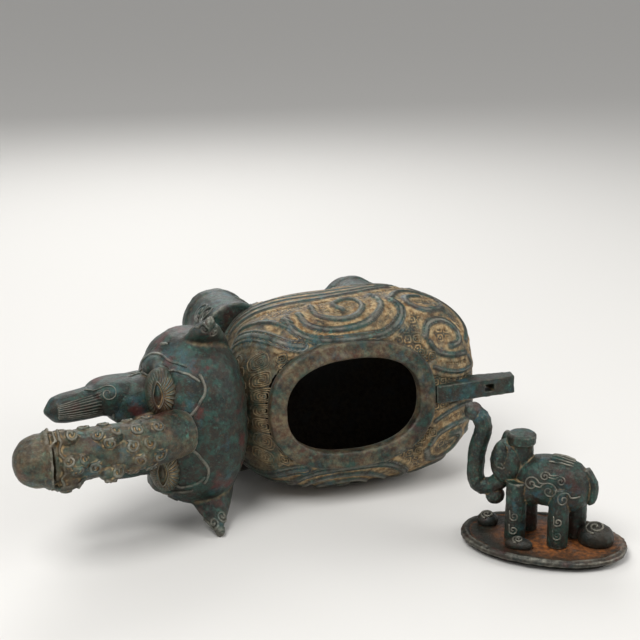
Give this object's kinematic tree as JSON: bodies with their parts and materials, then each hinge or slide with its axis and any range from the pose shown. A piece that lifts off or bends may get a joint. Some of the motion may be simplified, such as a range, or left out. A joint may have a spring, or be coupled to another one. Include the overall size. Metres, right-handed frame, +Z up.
{
  "type": "incense burner",
  "caption": "Elephant-shaped cast bronze vessel lying on its side, with an oval mouth in the back and a lift-off lid with a small elephant knob.",
  "frame": {"origin": "middle of the footprint, on the floor", "axes": "+Z up from the floor, +X along the longest extent, -Y towards the viewer; the vessel lies on its left side with its head towards -X"},
  "size_m": [0.2856, 0.2048, 0.1107],
  "materials": {
    "patina_bronze": "cast bronze with dark green and blue-green patina",
    "rim_bronze": "cast bronze, worn smooth, dark green-brown",
    "knob_bronze": "cast bronze, green patina with rubbed grey high places",
    "lid_bronze": "cast bronze plate with orange-brown crust"
  },
  "bodies": {
    "vessel": {"body_shell": "patina_bronze", "mouth_rim": "rim_bronze", "head_shell": "patina_bronze", "lower_jaw": "patina_bronze", "trunk_tube": "patina_bronze", "trunk_muzzle": "patina_bronze", "tail_bar": "patina_bronze", "trunk_crown": "patina_bronze", "trunk_brow_right": "patina_bronze", "trunk_brow_left": "patina_bronze", "trunk_knob_right": "patina_bronze", "trunk_knob_left": "patina_bronze", "right_ear": "patina_bronze", "right_eye": "patina_bronze", "right_tusk": "patina_bronze", "front_right_leg": "patina_bronze", "rear_right_leg": "patina_bronze", "left_ear": "patina_bronze", "left_eye": "patina_bronze", "left_tusk": "patina_bronze", "front_left_leg": "patina_bronze", "rear_left_leg": "patina_bronze"},
    "lid": {"lid_flange": "lid_bronze", "lid_plate": "lid_bronze", "knob_body": "knob_bronze", "knob_head": "knob_bronze", "knob_trunk": "knob_bronze", "knob_lip": "knob_bronze", "knob_post": "knob_bronze", "knob_right_ear": "knob_bronze", "knob_left_ear": "knob_bronze", "knob_tail": "knob_bronze", "knob_front_left_leg": "knob_bronze", "knob_front_right_leg": "knob_bronze", "knob_rear_left_leg": "knob_bronze", "knob_rear_right_leg": "knob_bronze", "lid_rear_coil": "knob_bronze", "lid_front_coil": "knob_bronze", "lid_left_coil": "knob_bronze"}
  },
  "joints": [
    {"name": "lid_lift", "type": "slide", "parent": "vessel", "child": "lid", "axis": [0, 0, 1], "range_m": [0, 0.07]}
  ]
}
